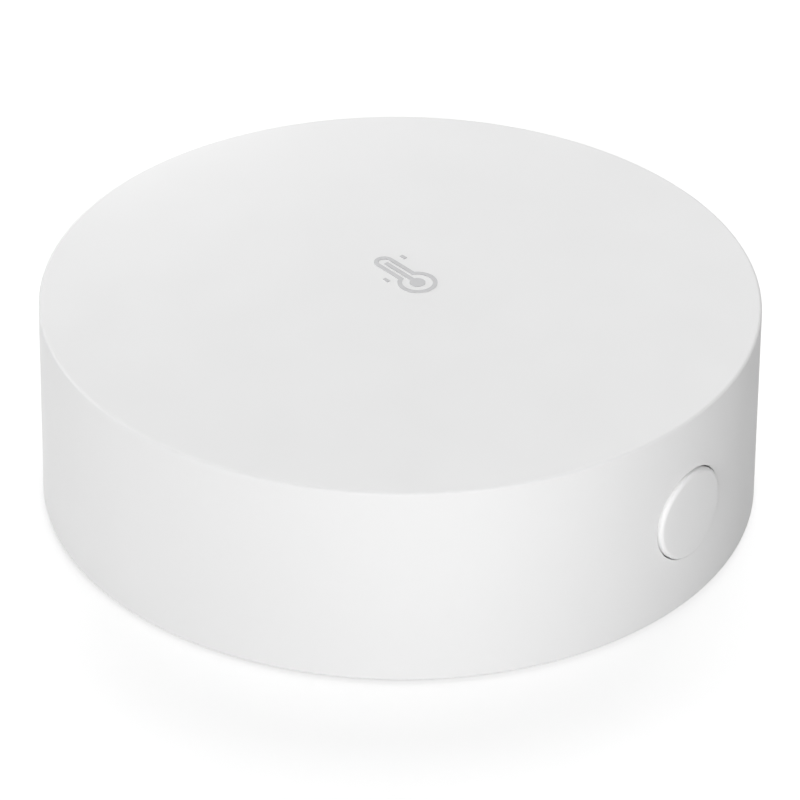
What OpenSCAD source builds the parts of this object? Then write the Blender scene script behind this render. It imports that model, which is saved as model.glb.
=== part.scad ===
// Round battery sensor for room temperature and humidity.
// Up is +Z. The origin is the centre of the adhesive pad's underside, which the sensor stands on.
// The push button faces -Y and the air slots face +Y. All lengths are in millimetres.

/* [Cover] */
// Outer diameter of the round cover
case_d = 65; // [64:0.5:72]
// Height of the cover, from its lower edge to its top
case_h = 19.5; // [19.2:0.1:22]
// Thickness of the cover's side wall
wall = 1.8; // [1.4:0.1:2.2]
// Thickness of the cover's top
roof = 1.8; // [1.4:0.1:1.9]
// Radius of the rounded edge round the top
rim_fillet = 0.3; // [0.2:0.05:1]
// Radius of the rounded lower edge
foot_fillet = 0.15; // [0.1:0.05:0.5]
// Width of one air slot
vent_w = 1.4; // [0.8:0.1:1.8]
// Height of one air slot
vent_h = 7; // [4:0.5:8]
// Distance from one air slot to the next, along the wall
vent_pitch = 3.2; // [2.8:0.1:3.6]
// Number of air slots
vent_count = 7; // [3:2:9]
// Thickness of the ribs inside the cover
rib_t = 1.2; // [0.8:0.1:1.5]
// How far the ribs stand in from the inner wall
rib_depth = 0.9; // [0.7:0.1:1.2]

/* [Base] */
// Thickness of the base plate
plate_t = 1.8; // [1.5:0.1:2]
// Gap between the base plate and the inner wall
plate_gap = 0.2; // [0.1:0.05:0.3]
// Diameter of the adhesive pad
pad_d = 40; // [20:1:48]
// Thickness of the adhesive pad
pad_t = 1; // [0.8:0.1:1.2]
// How deep the pad lies in the base plate
pad_recess = 0.7; // [0.3:0.1:0.7]
// Width of one snap hook
hook_w = 6; // [4:0.5:8]
// Height of one snap hook above the base plate
hook_h = 4.5; // [4.2:0.1:5]
// Thickness of one snap hook
hook_t = 1; // [0.8:0.1:1.1]

/* [Button] */
// Diameter of the button's hole in the wall
button_hole_d = 8.9; // [7:0.1:9.4]
// Gap all round the button
button_gap = 0.12; // [0.1:0.01:0.2]
// Height of the button's centre above the cover's lower edge
button_h = 9.5; // [9.2:0.1:9.8]
// How far the button stands out of the wall
button_proud = 0.4; // [0.4:0.05:1]
// How far the button travels when pressed
button_travel = 0.3; // [0.2:0.05:0.35]
// Radius of the rounded edge of the button
button_fillet = 0.35; // [0.1:0.05:0.4]

/* [Cells] */
// Diameter of one battery cell
cell_d = 10.3; // [10:0.1:10.5]
// Length of one battery cell, with its positive nub
cell_l = 44.5; // [43.5:0.1:44.5]
// Diameter of the positive nub
nub_d = 3.8; // [3:0.1:3.8]
// Wire diameter of a contact spring
spring_wire = 0.5; // [0.4:0.05:0.6]
// Number of curls in a contact spring
spring_curls = 3; // [2:0.5:3]
// Outer diameter of a contact spring at its contact plate
spring_wide_d = 7.6; // [7:0.1:8]
// Outer diameter of a contact spring at the cell
spring_narrow_d = 3.8; // [3.4:0.1:4]
// Length of a contact spring with the cell in place
spring_l = 4.2; // [4:0.1:5]

/* [Tray] */
// Thickness of the tray's outer walls
tray_wall = 1.2; // [1:0.1:1.4]
// Wall between the two cells
tray_divider = 0.9; // [0.8:0.1:1.2]
// Thickness of the tray over the cells
tray_roof = 1.1; // [1:0.1:1.1]
// Thickness of one screw ear
ear_t = 1.2; // [1:0.1:1.5]
// Distance of the screws from the middle, along the cells
screw_x = 18; // [16:0.5:19]
// Distance of the screws from the middle, across the cells
screw_y = 17; // [16.5:0.1:18]

/* [Board] */
// Thickness of the circuit board
board_t = 1; // [0.8:0.1:1]
// Width of the tongue that carries the sensing chip
tongue_w = 8.8; // [7:0.2:10]
// Length of the slots beside that tongue
tongue_l = 8; // [5:0.5:9]
// Length of the radio module's board
radio_l = 24; // [20:0.5:25]
// Width of the radio module's board
radio_w = 16; // [14:0.5:17]
// Side of the square sensing chip
chip_side = 3; // [2.5:0.1:4]

/* [Symbol] */
// Outer radius of the bulb in the printed thermometer
bulb_r = 1.82; // [1.2:0.02:2]
// Outer radius of its stem
stem_r = 0.95; // [0.6:0.05:1]
// Distance from the bulb's centre to the stem's round end
stem_l = 4.6; // [3.5:0.1:6]
// Width of the printed lines
line_w = 0.42; // [0.3:0.02:0.5]

/* [Hidden] */
$fn = 96;
// Overrun of a cut past the face that it leaves
over = 1;
// Thickness of printed ink and of bare solder pads
film_t = 0.05;
// Free play left between parts that sit on each other
seat = 0.05;

// Radii of the cover, the base plate and the circuit board
case_r = case_d / 2;
inner_r = case_r - wall;
plate_r = inner_r - plate_gap;
rib_r = inner_r - rib_depth;
board_edge_gap = 0.3;
board_r = rib_r - board_edge_gap;

// Heights, from the pad's underside upwards
foot_z = pad_t - pad_recess;
plate_top = foot_z + plate_t;
case_top = foot_z + case_h;
ceiling = case_top - roof;
cell_lift = 0.3;
cell_z = plate_top + cell_lift + cell_d / 2;
channel_play = 0.2;
channel_r = cell_d / 2 + channel_play;
board_z = cell_z + channel_r + tray_roof;
board_top = board_z + board_t;
button_z = foot_z + button_h;
cell_y = channel_r + tray_divider / 2;

// Snap hooks and the ledges that they catch
hook_angles = [45, 135, 225, 315];
hook_wall_gap = 0.8;
hook_out_r = inner_r - hook_wall_gap;
barb_reach = 0.5;
barb_h = 1.2;
barb_lead = 0.5;
ledge_reach = 0.65;
ledge_h = 1.2;
ledge_play = 0.2;
ledge_side = 1;
ledge_z = plate_top + hook_h - barb_h - ledge_play - ledge_h;

// Base plate details
plate_fillet = 0.25;
pad_side_gap = 0.2;
ring_w = 1;
ring_h = 0.8;
ring_r = hook_out_r - hook_t - board_edge_gap;
key_w = 4.6;
key_h = 2.6;
key_t = 1.2;
key_gap = 0.25;
key_angle = 180;
pry_r = 3;
pry_depth = 0.6;

// Ribs that stand on the base plate: pairs clear of the hooks, the button and the air slots
rib_angles = [0, 20, 62, 118, 160, 200, 245, 295, 340];
key_rib_turn = asin((key_w / 2 + key_gap + rib_t / 2) / rib_r);
inner_fillet = 0.8;

// Switch behind the button
stem_gap = 0.05;
cap_r = button_hole_d / 2 - button_gap;
cap_face_r = case_r + button_proud;
flange_bow = 0.4;
flange_lip = 1;
flange_r = button_hole_d / 2 + flange_lip;
flange_t = 1;
flange_gap = 0.1;
flange_back = inner_r - flange_gap - flange_t - flange_bow;
stem_r_button = 1.6;
plunger_r = 1.75;
plunger_reach = 1.55;
switch_setback = 3.05;
switch_tip = flange_back - switch_setback;
switch_front = switch_tip - plunger_reach;
switch_w = 6;
switch_depth = 3.5;
switch_below = 3;
frame_t = 0.2;
frame_leg_w = 0.9;
frame_leg_depth = 2;
cavity_r = 2.45;
cavity_depth = 2.3;
collar_r = 2.3;
collar_t = 0.7;
plunger_play = 0.1;
boss_r = 0.9;
dome_r = 2.1;
dome_t = 0.08;
dome_left_h = 0.55;
dome_h = dome_left_h + button_travel;
dome_gap = 0.03;
boss_l = cavity_depth - collar_t - dome_h - seat - dome_gap - seat;
pin_w = 0.7;
pin_t = 0.3;
pin_x = 2.1;
pin_back = 1.8;
pin_over = 0.8;
pin_play = 0.2;

// Battery contacts
plate_metal = 0.3;
contact_w = 9.6;
contact_low = 1;
contact_top = 4.65;
slot_play = 0.05;
tail_w = 1.6;
tail_over = 0.8;
tail_play = 0.25;
tray_end = 1.2;
tray_lift = 1.1;
tray_fillet = 1;
tray_z = plate_top + tray_lift;
nub_gap = 0.03;
tray_inner_l = plate_metal + nub_gap + cell_l + spring_l + plate_metal + nub_gap;
tray_half = tray_inner_l / 2;
tray_half_l = tray_half + tray_end;
tray_half_w = cell_y + channel_r + tray_wall;
contact_x = tray_half - plate_metal;
cell_tip_x = contact_x - nub_gap;
finger_l = 18;
finger_h = 5.4;

// One battery cell, in its own frame along its length
sleeve_t = 0.12;
sleeve_gap = 0.02;
can_r = cell_d / 2 - sleeve_t - sleeve_gap;
nub_l = 1.2;
can_l = cell_l - nub_l;
can_fillet = 0.6;
sleeve_start = 0.4;
sleeve_stop = 0.9;

// Screws, their ears and posts
screw_spots = [[1, 1], [-1, 1], [-1, -1], [1, -1]];
screw_core_r = 0.8;
screw_hole_r = 1.15;
pilot_r = 0.85;
post_r = 2.5;
ear_r = 2.8;
ear_z = board_z - ear_t;
head_r = 1.8;
head_h = 1.3;
head_fillet = 0.5;
cross_w = 0.45;
cross_l = 2;
cross_deep = 0.8;
screw_tip_gap = 0.3;
screw_tip_l = 0.6;

// Sensing chip, its tongue on the board and the chamber ribs over it
tongue_slot = 1.2;
chip_t = 1.1;
chip_hole_r = 0.7;
chip_hole_deep = 0.4;
chip_edge = 3;
chip_y = board_r - chip_edge;
chamber_side = 1.4;
chamber_back = 1.6;
chamber_gap = 0.3;
chamber_x = tongue_w / 2 + tongue_slot + chamber_side;
chamber_y = board_r - tongue_l - chamber_back;
notch_side = 5;
notch_gap = 0.1;

// Radio module on the upper side of the board
radio_t = 0.8;
radio_y = 5.5;
shield_l = 15;
shield_w = 13;
shield_h = 1.6;
shield_t = 0.2;
shield_shift = 3;
shield_fillet = 0.6;
radio_chip_side = 6;
radio_chip_t = 0.9;

// Small parts on the board. Their places are shares of the free strip beside the tray: along it
// from the middle to a screw ear, and across it from the tray's side to the board's edge. The
// last number says which strip, -1 at the button and 1 at the air slots.
strip_l = screw_x - ear_r;
strip_w = board_r - tray_half_w;
led_l = 1.6;
led_w = 0.8;
led_base_t = 0.3;
led_lens_t = 0.4;
led_shares = [0, 0.3, -1];
regulator_l = 2.9;
regulator_w = 1.6;
regulator_t = 1.1;
regulator_leg_w = 0.4;
regulator_leg_l = 0.5;
regulator_leg_pitch = 0.95;
regulator_shares = [-0.6, 0.25, -1];
crystal_l = 3.2;
crystal_w = 2.5;
crystal_t = 0.8;
crystal_lid_t = 0.3;
crystal_inset = 0.3;
crystal_shares = [0.62, 0.25, -1];
bulk_l = 3.5;
bulk_w = 2.8;
bulk_t = 1.9;
bulk_fillet = 0.3;
bulk_shares = [[-0.8, 0.55, -1], [0.8, 0.55, -1]];
small_l = 1.6;
small_w = 0.8;
capacitor_t = 0.8;
resistor_t = 0.45;
end_l = 0.3;
capacitor_shares = [
    [-0.86, 0.2, -1], [-0.28, 0.34, -1], [0.28, 0.34, -1], [-0.6, 0.3, 1], [0.6, 0.3, 1], [0.5, 0.55, -1]
];
resistor_shares = [
    [-0.14, 0.14, -1], [0.14, 0.14, -1], [0.9, 0.24, -1], [-0.8, 0.22, 1], [0.8, 0.22, 1], [-0.5, 0.55, -1]
];
test_pad_r = 0.75;
test_pad_pitch = 2.54;
test_pad_count = 5;
test_pad_side = 2.2;
test_pad_y = tray_half_w + test_pad_side;

// Printed thermometer on the top: place of its bulb's centre, and the way its stem points
symbol_x = 2.7;
symbol_y = 0.16;
symbol_turn = 78.6;
mercury_r = 0.72;
mercury_l = 4.4;
tick_l = 0.65;
tick_w = 0.35;
tick_places = [[stem_l - line_w, -stem_r * 2], [stem_l / 2 - line_w / 2, stem_r * 2]];

// Turns a shape that was made along Z so that it runs along +X
module along_x() {
    rotate([0, 90, 0]) children();
}

// Turns a shape that was made along Z so that it runs along +Y
module along_y() {
    rotate([-90, 0, 0]) children();
}

// A box centred on X and Y, standing on its own zero
module block(x, y, z) {
    translate([-x / 2, -y / 2, 0]) cube([x, y, z]);
}

// A rectangle with exact round corners
module rounded_rectangle(x, y, r) {
    square([x - 2 * r, y], center = true);
    square([x, y - 2 * r], center = true);
    for (i = [-1, 1], j = [-1, 1]) {
        translate([i * (x / 2 - r), j * (y / 2 - r)]) circle(r);
    }
}

// A plate with round corners, standing on its own zero
module rounded_plate(x, y, z, r) {
    linear_extrude(z) rounded_rectangle(x, y, r);
}

// Half section of a disc from z0 to z1 whose lower and upper edges are rounded
module disc_section(r, z0, z1, low_r, high_r) {
    translate([0, z0 + low_r]) square([r, z1 - z0 - low_r - high_r]);
    translate([0, z0]) square([r - low_r, low_r + high_r]);
    translate([0, z1 - high_r - low_r]) square([r - high_r, high_r + low_r]);
    translate([r - low_r, z0 + low_r]) circle(low_r);
    translate([r - high_r, z1 - high_r]) circle(high_r);
}

// A box whose inner face is at radius r, at an angle round the case
module radial_block(angle, r, depth, w, z0, z1) {
    rotate([0, 0, angle]) translate([r, -w / 2, z0]) cube([depth, w, z1 - z0]);
}

// Places its children at each of the four screws
module at_screws() {
    for (s = screw_spots) translate([s[0] * screw_x, s[1] * screw_y, 0]) children();
}

// Places its children on the board, at shares of a free strip beside the tray
module at_share(share) {
    translate([share[0] * strip_l, share[2] * (tray_half_w + share[1] * strip_w), 0]) children();
}

// Cover: side wall and top
module cover_shell() {
    rotate_extrude() {
        difference() {
            disc_section(case_r, foot_z, case_top, foot_fillet, rim_fillet);
            translate([0, foot_z - over]) square([inner_r, ceiling - foot_z - inner_fillet + over]);
            translate([0, foot_z]) square([inner_r - inner_fillet, ceiling - foot_z]);
            translate([inner_r - inner_fillet, ceiling - inner_fillet]) circle(inner_fillet);
        }
    }
}

module cover_ribs() {
    for (a = rib_angles) {
        radial_block(a, rib_r, rib_depth + wall / 2, rib_t, plate_top + seat, ceiling + roof / 2);
    }
    for (side = [-1, 1]) {
        radial_block(
            key_angle + side * key_rib_turn, rib_r, rib_depth + wall / 2, rib_t,
            plate_top + seat, ceiling + roof / 2
        );
    }
}

module cover_ledges() {
    for (a = hook_angles) {
        radial_block(
            a, inner_r - ledge_reach, ledge_reach + wall / 2, hook_w + 2 * ledge_side,
            ledge_z, ledge_z + ledge_h
        );
    }
}

module cover_posts() {
    at_screws() translate([0, 0, board_top]) cylinder(r = post_r, h = ceiling - board_top + roof / 2);
}

// Ribs that keep the air round the sensing chip apart from the rest
module chamber_ribs() {
    rib_z = board_top + chamber_gap;
    rib_top = ceiling + roof / 2;
    for (side = [-1, 1]) {
        translate([side * chamber_x - rib_t / 2, chamber_y, rib_z])
            cube([rib_t, inner_r - chamber_y - inner_fillet, rib_top - rib_z]);
    }
    translate([0, chamber_y, rib_z]) block(2 * chamber_x, rib_t, rib_top - rib_z);
}

module air_slots() {
    slot_r = vent_w / 2;
    for (i = [0:vent_count - 1]) {
        turn = (i - (vent_count - 1) / 2) * vent_pitch / case_r * 180 / PI;
        rotate([0, 0, 90 + turn]) translate([rib_r, 0, button_z]) {
            translate([0, -slot_r, slot_r - vent_h / 2])
                cube([rib_depth + wall + over, vent_w, vent_h - vent_w]);
            for (end = [-1, 1]) {
                translate([0, 0, end * (vent_h / 2 - slot_r)])
                    along_x() cylinder(r = slot_r, h = rib_depth + wall + over);
            }
        }
    }
}

module housing() {
    color("white") {
        difference() {
            union() {
                cover_shell();
                cover_ribs();
                cover_ledges();
                cover_posts();
                chamber_ribs();
            }
            translate([0, -case_r - over, button_z])
                along_y() cylinder(d = button_hole_d, h = wall + rib_depth + over + over);
            air_slots();
            at_screws() translate([0, 0, board_top - over]) cylinder(r = pilot_r, h = ceiling - board_top + over);
        }
    }
}

// Outline of the bulb and the stem, drawn in by one amount all round
module thermometer_outline(inset) {
    circle(bulb_r - inset);
    translate([0, inset - stem_r]) square([stem_l, 2 * (stem_r - inset)]);
    translate([stem_l, 0]) circle(stem_r - inset);
}

module printed_symbol() {
    color("darkgray") {
        translate([symbol_x, symbol_y, case_top]) rotate([0, 0, symbol_turn]) linear_extrude(film_t) {
            difference() {
                thermometer_outline(0);
                thermometer_outline(line_w);
            }
            circle(mercury_r);
            translate([0, -line_w / 2]) square([mercury_l, line_w]);
            for (p = tick_places) translate(p) square([tick_l, tick_w], center = true);
        }
    }
}

// Button: round cap with a face that follows the wall, a flange behind the wall and a stem
module button_cap() {
    color("white") {
        translate([0, 0, button_z]) {
            intersection() {
                translate([0, -cap_face_r, 0]) along_y() rotate_extrude() {
                    translate([0, button_fillet]) square([cap_r, cap_face_r - flange_back - button_fillet]);
                    square([cap_r - button_fillet, cap_face_r - flange_back]);
                    translate([cap_r - button_fillet, button_fillet]) circle(button_fillet);
                }
                translate([0, 0, -flange_r]) cylinder(r = cap_face_r, h = 2 * flange_r);
            }
            intersection() {
                translate([0, -inner_r, 0]) along_y() cylinder(r = flange_r, h = inner_r - flange_back);
                translate([0, 0, -flange_r]) cylinder(r = inner_r - flange_gap, h = 2 * flange_r);
            }
            translate([0, -flange_back - flange_t / 2, 0])
                along_y() cylinder(r = stem_r_button, h = flange_back + flange_t / 2 - switch_tip - stem_gap);
        }
    }
}

// One snap hook, standing on the base plate
module hook(angle) {
    z1 = plate_top + hook_h;
    radial_block(angle, hook_out_r - hook_t, hook_t, hook_w, plate_top - plate_t / 2, z1);
    rotate([0, 0, angle]) translate([hook_out_r - hook_t / 2, hook_w / 2, 0]) rotate([90, 0, 0])
        linear_extrude(hook_w) polygon([
            [0, z1 - barb_h],
            [hook_t / 2 + barb_reach, z1 - barb_h],
            [hook_t / 2 + barb_reach, z1 - barb_lead],
            [hook_t / 2, z1],
            [0, z1]
        ]);
}

module base_cover() {
    color("white") {
        difference() {
            union() {
                rotate_extrude() disc_section(plate_r, foot_z, plate_top, plate_fillet, plate_fillet);
                rotate_extrude() translate([ring_r - ring_w, plate_top - plate_t / 2])
                    square([ring_w, plate_t / 2 + ring_h]);
                for (a = hook_angles) hook(a);
                radial_block(
                    key_angle, plate_r - key_t - plate_gap, key_t, key_w,
                    plate_top - plate_t / 2, plate_top + key_h
                );
            }
            translate([0, 0, foot_z - over]) cylinder(d = pad_d + 2 * pad_side_gap, h = pad_recess + over);
            translate([plate_r + pry_r - pry_depth, 0, foot_z - over])
                cylinder(r = pry_r, h = plate_t + 2 * over);
        }
    }
}

module mounting_pad() {
    color("gainsboro") cylinder(d = pad_d, h = pad_t);
}

// Space of one cell in the tray, open downwards
module cell_channel(side) {
    translate([-tray_half + plate_metal + slot_play, side * cell_y, cell_z]) {
        along_x() cylinder(r = channel_r, h = 2 * (tray_half - plate_metal - slot_play));
        translate([0, -channel_r, tray_z - over - cell_z])
            cube([2 * (tray_half - plate_metal - slot_play), 2 * channel_r, cell_z - tray_z + over]);
    }
}

// Slot that holds one contact plate against the tray's end wall
module contact_slot(end, y0, y1) {
    slot_t = plate_metal + slot_play;
    x0 = end > 0 ? tray_half - slot_t : -tray_half;
    translate([x0, y0 - slot_play, tray_z - over])
        cube([slot_t, y1 - y0 + 2 * slot_play, cell_z + contact_top + slot_play - tray_z + over]);
}

// Opening for a contact's tail, through whatever lies between z0 and z1
module tail_opening(end, side, z0, z1) {
    translate([end * (contact_x + plate_metal / 2), side * cell_y, z0])
        block(plate_metal + 2 * tail_play, tail_w + 2 * tail_play, z1 - z0);
}

module battery_tray() {
    color("whitesmoke") {
        difference() {
            union() {
                translate([0, 0, tray_z])
                    rounded_plate(2 * tray_half_l, 2 * tray_half_w, board_z - tray_z, tray_fillet);
                for (s = screw_spots) {
                    translate([s[0] * screw_x, s[1] * screw_y, ear_z]) cylinder(r = ear_r, h = ear_t);
                    translate([s[0] * screw_x, s[1] * (screw_y + tray_half_w - tray_wall) / 2, ear_z])
                        block(2 * ear_r, screw_y - tray_half_w + tray_wall, ear_t);
                }
            }
            for (side = [-1, 1]) {
                cell_channel(side);
                contact_slot(1, side * cell_y - contact_w / 2, side * cell_y + contact_w / 2);
                tail_opening(1, side, cell_z, board_z + over);
            }
            contact_slot(-1, -cell_y - contact_w / 2, cell_y + contact_w / 2);
            at_screws() translate([0, 0, ear_z - over]) cylinder(r = screw_hole_r, h = ear_t + 2 * over);
            translate([0, 0, tray_z - over]) block(finger_l, 2 * (tray_half_w + over), finger_h + over);
        }
    }
}

// A cell with its middle at the origin, its negative end at -X
module cell() {
    translate([-cell_l / 2, 0, 0]) along_x() {
        rotate_extrude() disc_section(can_r, 0, can_l, can_fillet, can_fillet);
        translate([0, 0, can_l - can_fillet]) cylinder(d = nub_d, h = nub_l + can_fillet);
    }
}

module cell_sleeve() {
    translate([-cell_l / 2 + sleeve_start, 0, 0]) along_x() difference() {
        cylinder(d = cell_d, h = can_l - sleeve_start - sleeve_stop);
        translate([0, 0, -over]) cylinder(r = can_r + sleeve_gap, h = cell_l);
    }
}

// Turns a set that was made for the front cell by half a turn for the rear cell
module for_rear() {
    rotate([0, 0, 180]) children();
}

// Puts a cell's frame at the front cell's place, with its positive end at +X
module at_front_cell() {
    translate([cell_tip_x - cell_l / 2, -cell_y, cell_z]) children();
}

module cell_front() {
    color("silver") at_front_cell() cell();
}

module cell_rear() {
    color("silver") for_rear() at_front_cell() cell();
}

module cell_front_sleeve() {
    color("dimgray") at_front_cell() cell_sleeve();
}

module cell_rear_sleeve() {
    color("dimgray") for_rear() at_front_cell() cell_sleeve();
}

// One contact plate at +X, between two places across the tray
module contact_plate(y0, y1) {
    translate([contact_x, y0, tray_z + contact_low])
        cube([plate_metal, y1 - y0, cell_z + contact_top - tray_z - contact_low]);
}

// Tail that runs up from a contact plate at +X, through the tray and the board
module contact_tail(side) {
    z0 = cell_z + contact_top - slot_play;
    translate([contact_x + plate_metal / 2, side * cell_y, z0])
        block(plate_metal, tail_w, board_top + tail_over - z0);
}

module contact_positive() {
    color("gold") {
        contact_plate(-cell_y - contact_w / 2, -cell_y + contact_w / 2);
        contact_tail(-1);
    }
}

module contact_negative() {
    color("gold") {
        contact_plate(cell_y - contact_w / 2, cell_y + contact_w / 2);
        contact_tail(1);
    }
}

module contact_bridge() {
    color("gold") for_rear() contact_plate(-cell_y - contact_w / 2, cell_y + contact_w / 2);
}

// Path of a contact spring: straight start on the plate, widening curls, straight end on the cell
curl_rings = 8;
spring_sides = 6;
spring_wide_r = (spring_wide_d - spring_wire) / 2;
spring_narrow_r = (spring_narrow_d - spring_wire) / 2;
spring_ring_total = spring_curls * curl_rings;
spring_rise = spring_l - 2 * spring_wire;

function spring_turn(i) = i * 360 / curl_rings;
function spring_share(i) = i / spring_ring_total;
function spring_radius(i) = spring_wide_r + (spring_narrow_r - spring_wide_r) * spring_share(i);
function spring_height(i) = spring_wire + spring_rise * spring_share(i);
function spring_spoke(i) = [cos(spring_turn(i)), sin(spring_turn(i)), 0];
function spring_place(i) = spring_radius(i) * spring_spoke(i) + [0, 0, spring_height(i)];

spring_path = concat(
    [spring_wide_r * spring_spoke(0)],
    [for (i = [0:spring_ring_total]) spring_place(i)],
    [spring_narrow_r * spring_spoke(spring_ring_total) + [0, 0, spring_l]]
);
spring_spokes = concat(
    [spring_spoke(0)],
    [for (i = [0:spring_ring_total]) spring_spoke(i)],
    [spring_spoke(spring_ring_total)]
);

function unit(v) = v / norm(v);
function path_way(path, i) =
    i == 0 ? unit(path[1] - path[0])
    : i == len(path) - 1 ? unit(path[i] - path[i - 1])
    : unit(unit(path[i + 1] - path[i]) + unit(path[i] - path[i - 1]));

// Rings of the wire along the path, each square to it, and the faces between them
function wire_ring(path, spokes, i, r, sides) =
    let (way = path_way(path, i))
    let (out = unit(spokes[i] - (spokes[i] * way) * way))
    let (across = cross(way, out))
    [for (k = [0:sides - 1]) path[i] + r * (cos(k * 360 / sides) * out + sin(k * 360 / sides) * across)];

module wire(path, spokes, r, sides) {
    last = len(path) - 1;
    points = [for (i = [0:last]) each wire_ring(path, spokes, i, r, sides)];
    skin = [
        for (i = [0:last - 1], k = [0:sides - 1])
            let (a = i * sides + k)
            let (b = i * sides + (k + 1) % sides)
            each [[a, a + sides, b], [b, a + sides, b + sides]]
    ];
    first_cap = [for (k = [1:sides - 2]) [0, k, k + 1]];
    last_cap = [for (k = [1:sides - 2]) [last * sides, last * sides + k + 1, last * sides + k]];
    polyhedron(points, concat(skin, first_cap, last_cap));
}

// Least gap of the spring's wire to itself, measured between points of its path
spring_gap = min([
    for (i = [1:len(spring_path) - 1], j = [1:len(spring_path) - 1])
        if (j - i >= curl_rings / 2) norm(spring_path[i] - spring_path[j]) - spring_wire
]);
echo(least_gap_in_contact_spring = spring_gap);

// The front cell's spring stands on the bridge at -X and presses on the cell's negative end
module contact_spring() {
    color("silver") translate([-contact_x, -cell_y, cell_z])
        along_x() wire(spring_path, spring_spokes, spring_wire / 2, spring_sides);
}

module spring_front() {
    contact_spring();
}

module spring_rear() {
    for_rear() contact_spring();
}

module circuit_board() {
    color("seagreen") translate([0, 0, board_z]) difference() {
        linear_extrude(board_t) difference() {
            circle(board_r);
            translate([-switch_w / 2 - notch_side, -board_r - over])
                square([switch_w + 2 * notch_side, board_r - switch_front - notch_gap + over]);
            for (side = [-1, 1]) {
                translate([side * (tongue_w + tongue_slot) / 2 - tongue_slot / 2, board_r - tongue_l])
                    square([tongue_slot, tongue_l + over]);
            }
            at_screws() circle(screw_hole_r);
            for (side = [-1, 1]) {
                translate([side * pin_x, -switch_front + pin_back])
                    square([pin_w + 2 * pin_play, pin_t + 2 * pin_play], center = true);
                translate([side * (switch_w + frame_t) / 2, -switch_front + frame_leg_depth / 2])
                    square([frame_t + 2 * pin_play, frame_leg_w + 2 * pin_play], center = true);
            }
        }
        for (side = [-1, 1]) tail_opening(1, side, -over, board_t + over);
    }
}

module radio_board() {
    color("darkgreen") translate([0, radio_y, board_top]) rounded_plate(radio_l, radio_w, radio_t, shield_fillet);
}

module radio_shield() {
    color("silver") translate([shield_shift, radio_y, board_top + radio_t]) difference() {
        rounded_plate(shield_l, shield_w, shield_h, shield_fillet);
        translate([0, 0, -over]) rounded_plate(
            shield_l - 2 * shield_t, shield_w - 2 * shield_t, shield_h - shield_t + over,
            shield_fillet - shield_t
        );
    }
}

module radio_chip() {
    color("black") translate([shield_shift, radio_y, board_top + radio_t])
        block(radio_chip_side, radio_chip_side, radio_chip_t);
}

module humidity_sensor() {
    color("dimgray") translate([0, chip_y, board_z - chip_t]) difference() {
        block(chip_side, chip_side, chip_t);
        translate([0, 0, -over]) cylinder(r = chip_hole_r, h = chip_hole_deep + over);
    }
}

// Side-acting switch: case with a round well, metal frame, dome, plunger and pins
switch_z = button_z - switch_below;
switch_h = board_z - switch_z;

module switch_case() {
    color("dimgray") difference() {
        translate([0, -switch_front + switch_depth / 2 + frame_t / 2, switch_z])
            block(switch_w, switch_depth - frame_t, switch_h);
        translate([0, -switch_front, button_z]) along_y() cylinder(r = cavity_r, h = cavity_depth + frame_t);
    }
}

module switch_frame() {
    color("silver") {
        difference() {
            translate([0, -switch_front + frame_t / 2, switch_z])
                block(switch_w + 2 * frame_t, frame_t, switch_h);
            translate([0, -switch_front - over, button_z])
                along_y() cylinder(r = plunger_r + plunger_play, h = frame_t + 2 * over);
        }
        for (side = [-1, 1]) {
            translate([side * (switch_w + frame_t) / 2, -switch_front + frame_leg_depth / 2, switch_z])
                block(frame_t, frame_leg_depth, switch_h);
            translate([side * (switch_w + frame_t) / 2, -switch_front + frame_leg_depth / 2, board_z])
                block(frame_t, frame_leg_w, board_t + pin_over);
        }
    }
}

// Domed disc that the plunger flattens
dome_curve_r = (dome_r * dome_r + dome_h * dome_h) / (2 * dome_h);

module switch_dome() {
    color("silver") translate([0, -switch_front + frame_t + cavity_depth - seat, button_z])
        rotate([90, 0, 0]) rotate_extrude() intersection() {
            translate([0, dome_h - dome_curve_r]) difference() {
                circle(dome_curve_r);
                circle(dome_curve_r - dome_t);
            }
            square([dome_r, dome_h]);
        }
}

module switch_plunger() {
    color("black") translate([0, -switch_front, button_z]) {
        translate([0, -plunger_reach, 0]) along_y()
            cylinder(r = plunger_r, h = plunger_reach + frame_t + seat + collar_t / 2);
        translate([0, frame_t + seat, 0]) along_y() cylinder(r = collar_r, h = collar_t);
        translate([0, frame_t + seat + collar_t / 2, 0])
            along_y() cylinder(r = boss_r, h = collar_t / 2 + boss_l);
    }
}

module switch_terminals() {
    color("silver") for (side = [-1, 1]) {
        translate([side * pin_x, -switch_front + pin_back, board_z]) block(pin_w, pin_t, board_t + pin_over);
    }
}

// Chip with metal ends, hanging under the board: its body, made as one solid with its ends
module chip_part(l, w, t) {
    translate([0, 0, board_z - t]) block(l, w, t);
}

module status_led() {
    color("white") at_share(led_shares) translate([0, 0, board_top]) block(led_l, led_w, led_base_t);
}

module led_lens() {
    color("ivory") at_share(led_shares) translate([0, 0, board_top + led_base_t])
        block(led_l - 2 * end_l, led_w, led_lens_t);
}

module regulator() {
    color("black") at_share(regulator_shares) {
        chip_part(regulator_l, regulator_w, regulator_t);
        for (i = [-1, 1]) {
            translate([i * regulator_leg_pitch, -(regulator_w + regulator_leg_l) / 2, 0])
                chip_part(regulator_leg_w, regulator_leg_l, regulator_t / 2);
        }
        translate([0, (regulator_w + regulator_leg_l) / 2, 0])
            chip_part(regulator_leg_w, regulator_leg_l, regulator_t / 2);
    }
}

module crystal() {
    color("silver") at_share(crystal_shares) {
        translate([0, 0, board_z - crystal_t + crystal_lid_t])
            block(crystal_l, crystal_w, crystal_t - crystal_lid_t);
        translate([0, 0, board_z - crystal_t]) rounded_plate(
            crystal_l - 2 * crystal_inset, crystal_w - 2 * crystal_inset, crystal_lid_t, crystal_inset
        );
    }
}

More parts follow.
